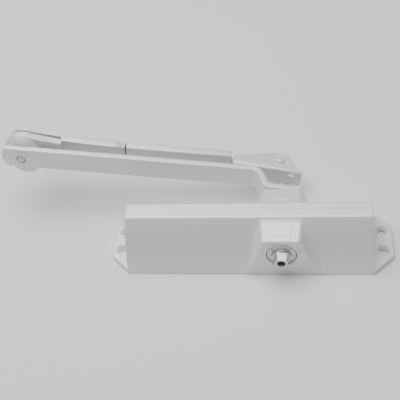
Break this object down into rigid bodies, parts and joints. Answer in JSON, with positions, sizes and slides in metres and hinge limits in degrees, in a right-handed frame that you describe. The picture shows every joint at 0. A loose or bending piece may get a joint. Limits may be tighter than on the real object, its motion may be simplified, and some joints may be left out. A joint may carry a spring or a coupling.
{
  "type": "door closer",
  "caption": "Overhead rack-and-pinion door closer: sloped rectangular body with end fixing lugs, pinion boss, folded scissor arm and angle foot.",
  "frame": {"origin": "middle of the four fixing holes, on the mounting face", "axes": "+X along the body towards its pinion end, +Y along the pinion axis towards the arm, +Z out of the mounting face"},
  "size_m": [0.3195, 0.1121, 0.0704],
  "materials": {
    "white_powder_coat": "fine-textured white powder coat",
    "thin_white_paint": "white paint worn thin over steel",
    "machined_steel": "machined, oiled",
    "zinc_plated_steel": "bright zinc plate",
    "spring_steel": "dark oil-tempered wire",
    "bearing_bronze": "turned",
    "nitrile_rubber": "matt black moulded rubber",
    "black_nylon": "moulded nylon",
    "bright_ball": "ground and polished"
  },
  "bodies": {
    "housing": {"housing": "white_powder_coat", "end_plug_left": "zinc_plated_steel", "end_plug_right": "zinc_plated_steel", "plug_seal_left": "nitrile_rubber", "plug_seal_right": "nitrile_rubber", "bearing_bush_near": "bearing_bronze", "bearing_bush_far": "bearing_bronze", "shaft_seal_near": "nitrile_rubber", "shaft_seal_far": "nitrile_rubber", "bearing_ring_near": "thin_white_paint", "bearing_ring_far": "thin_white_paint", "spring_seat": "zinc_plated_steel", "spring_outer": "spring_steel", "spring_inner": "spring_steel"},
    "pinion_and_arm": {"pinion": "machined_steel", "main_arm": "white_powder_coat", "arm_washer": "zinc_plated_steel", "arm_screw": "zinc_plated_steel", "elbow_hub": "white_powder_coat", "elbow_rivet": "thin_white_paint", "elbow_cup": "white_powder_coat"},
    "forearm": {"forearm_fork": "white_powder_coat", "elbow_spacer": "zinc_plated_steel", "clamp_screw": "thin_white_paint", "clamp_shoe": "zinc_plated_steel"},
    "extension": {"forearm_tube": "white_powder_coat", "rod_guide_inner": "black_nylon", "rod_guide_outer": "black_nylon"},
    "rod": {"forearm_rod": "zinc_plated_steel"},
    "foot": {"foot_bracket": "white_powder_coat", "foot_rivet": "thin_white_paint", "foot_washer": "zinc_plated_steel"},
    "piston": {"piston": "machined_steel", "piston_ring": "black_nylon", "check_valve_seat": "machined_steel"},
    "check_ball": {"check_valve_ball": "bright_ball"},
    "closing_valve": {"closing_valve": "machined_steel", "closing_valve_seal": "nitrile_rubber"},
    "latching_valve": {"latching_valve": "machined_steel", "latching_valve_seal": "nitrile_rubber"}
  },
  "joints": [
    {"name": "pinion_spin", "type": "hinge", "parent": "housing", "child": "pinion_and_arm", "pos_m": [0.02665, 0, 0.022], "axis": [0, 1, 0], "range_deg": [0, 165], "stiffness_Nm_per_rad": 4.5, "springref_deg": -166.16},
    {"name": "piston_slide", "type": "slide", "parent": "housing", "child": "piston", "axis": [1, 0, 0], "range_m": [-0.0224, 0], "deforming": ["spring_outer", "spring_inner"]},
    {"name": "check_ball_lift", "type": "slide", "parent": "piston", "child": "check_ball", "axis": [1, 0, 0], "range_m": [-0.0008, 0.0008]},
    {"name": "elbow_pivot", "type": "hinge", "parent": "pinion_and_arm", "child": "forearm", "pos_m": [-0.19105, 0.0615, 0.05376], "axis": [0, 1, 0], "range_deg": [-160, 160]},
    {"name": "forearm_extension", "type": "slide", "parent": "forearm", "child": "extension", "axis": [0.9895, 0, -0.1444], "range_m": [0, 0.045]},
    {"name": "rod_turn", "type": "hinge", "parent": "extension", "child": "rod", "pos_m": [-0.06241, 0.0663, 0.03499], "axis": [0.9895, 0, -0.1444], "range_deg": [0, 90]},
    {"name": "foot_swivel", "type": "hinge", "parent": "rod", "child": "foot", "pos_m": [0.02358, 0.0663, 0.02245], "axis": [0.1444, 0, 0.9895], "range_deg": [-1.5, 6]},
    {"name": "closing_valve_turn", "type": "hinge", "parent": "housing", "child": "closing_valve", "pos_m": [0.085, -0.0204, 0.0092], "axis": [1, 0, 0], "range_deg": [-180, 180]},
    {"name": "latching_valve_turn", "type": "hinge", "parent": "housing", "child": "latching_valve", "pos_m": [0.085, 0.0204, 0.0092], "axis": [1, 0, 0], "range_deg": [-180, 180]}
  ],
  "couplings": [
    {"joint": "piston_slide", "follows": "pinion_spin", "m_per_rad": -0.0077}
  ]
}
